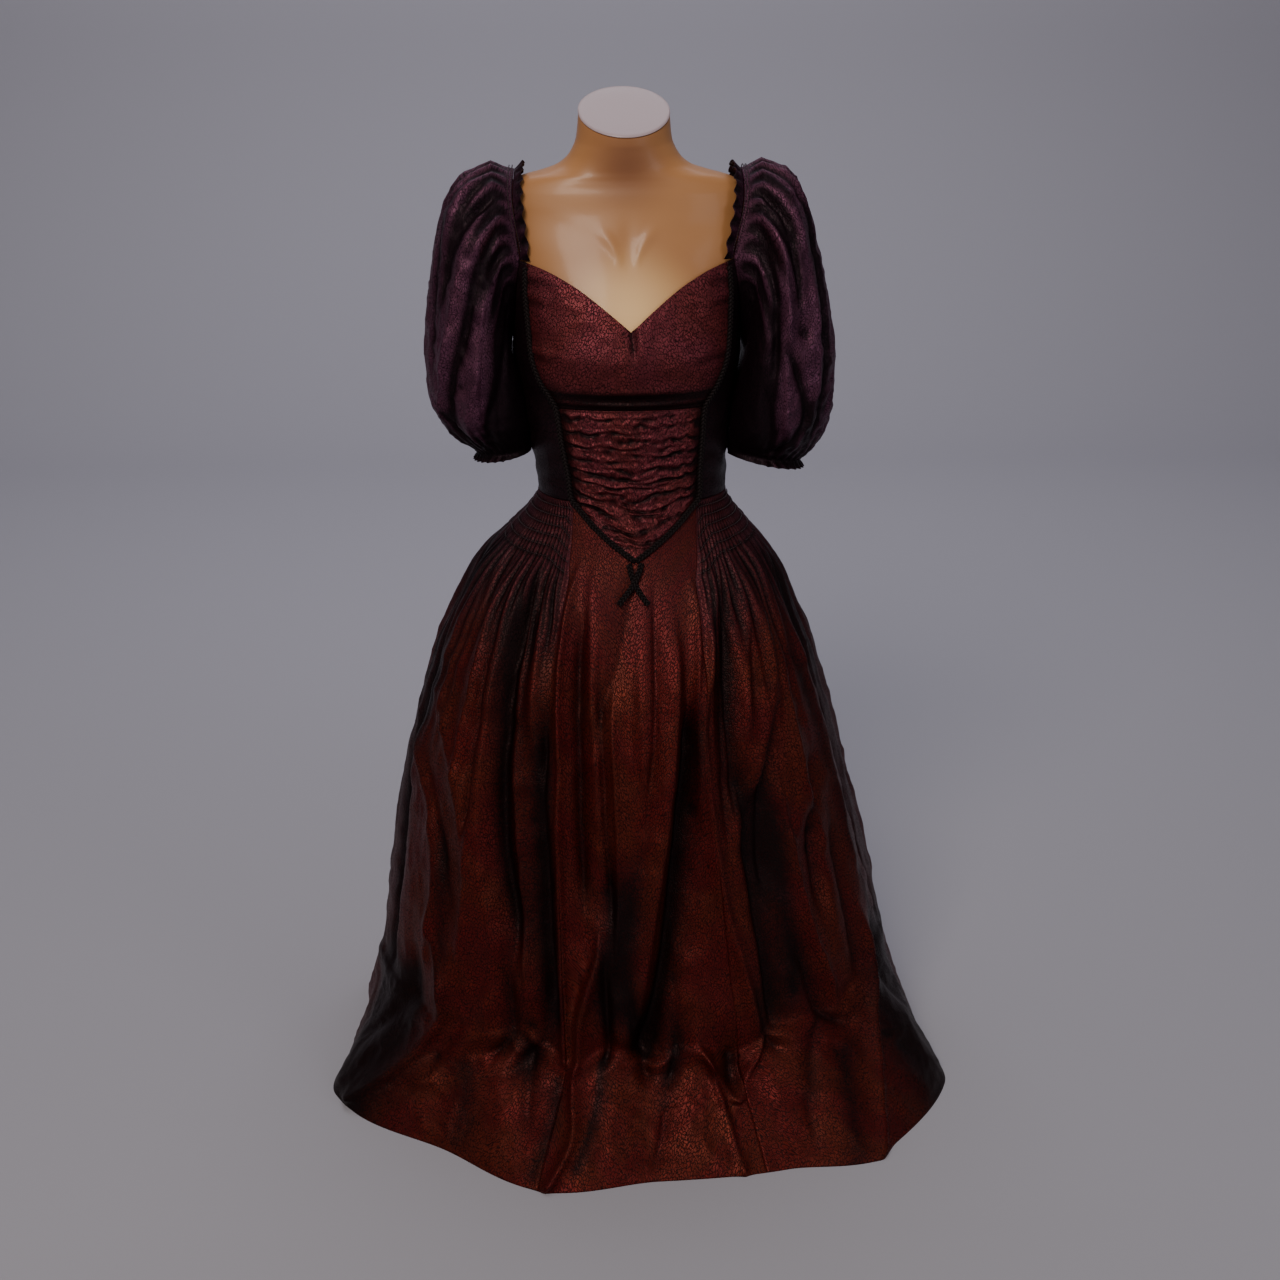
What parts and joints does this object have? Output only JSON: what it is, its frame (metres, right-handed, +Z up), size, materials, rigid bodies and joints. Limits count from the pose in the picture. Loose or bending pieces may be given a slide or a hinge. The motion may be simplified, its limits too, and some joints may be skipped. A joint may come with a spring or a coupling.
{
  "type": "edwardian revival dress on a dress form",
  "caption": "Floor-length shot taffeta dress with sweetheart bodice, pointed basque waist, braid trim and puffed sleeves, on a limbless dress form.",
  "frame": {"origin": "centre of the stand base's underside, on the floor under the pole", "axes": "+Z up, -Y towards the front of the dress, +X towards the wearer's left"},
  "size_m": [0.835, 0.8645, 1.2923],
  "materials": {
    "taffeta_skirt": "crinkled shot taffeta, copper brown over black",
    "taffeta_bodice": "crinkled shot taffeta, wine over black",
    "taffeta_side": "crinkled shot taffeta seen nearly black",
    "taffeta_sleeve": "crinkled shot taffeta, plum over black",
    "braid": "twisted gimp braid, black and wine",
    "form_skin": "smooth glossy tan plastic",
    "form_cap": "pale plastic neck cap",
    "stand_steel": "grey painted steel"
  },
  "bodies": {
    "root": {"form_torso": "form_skin", "neck_cap": "form_cap", "stand_pole": "stand_steel", "stand_base": "stand_steel", "bust_panel": "taffeta_bodice", "midriff_panel": "taffeta_bodice", "side_front_left": "taffeta_side", "side_front_right": "taffeta_side", "bodice_back_left": "taffeta_side", "bodice_back_right": "taffeta_side", "sleeve_left": "taffeta_sleeve", "sleeve_right": "taffeta_sleeve", "sleeve_ruffle_left": "taffeta_sleeve", "sleeve_ruffle_right": "taffeta_sleeve", "skirt_centre_front": "taffeta_skirt", "skirt_side_front_left": "taffeta_skirt", "skirt_side_front_right": "taffeta_skirt", "skirt_back_left": "taffeta_skirt", "skirt_back_right": "taffeta_skirt", "braid_left": "braid", "braid_right": "braid", "tie_end_left": "braid", "tie_end_right": "braid"}
  },
  "joints": []
}
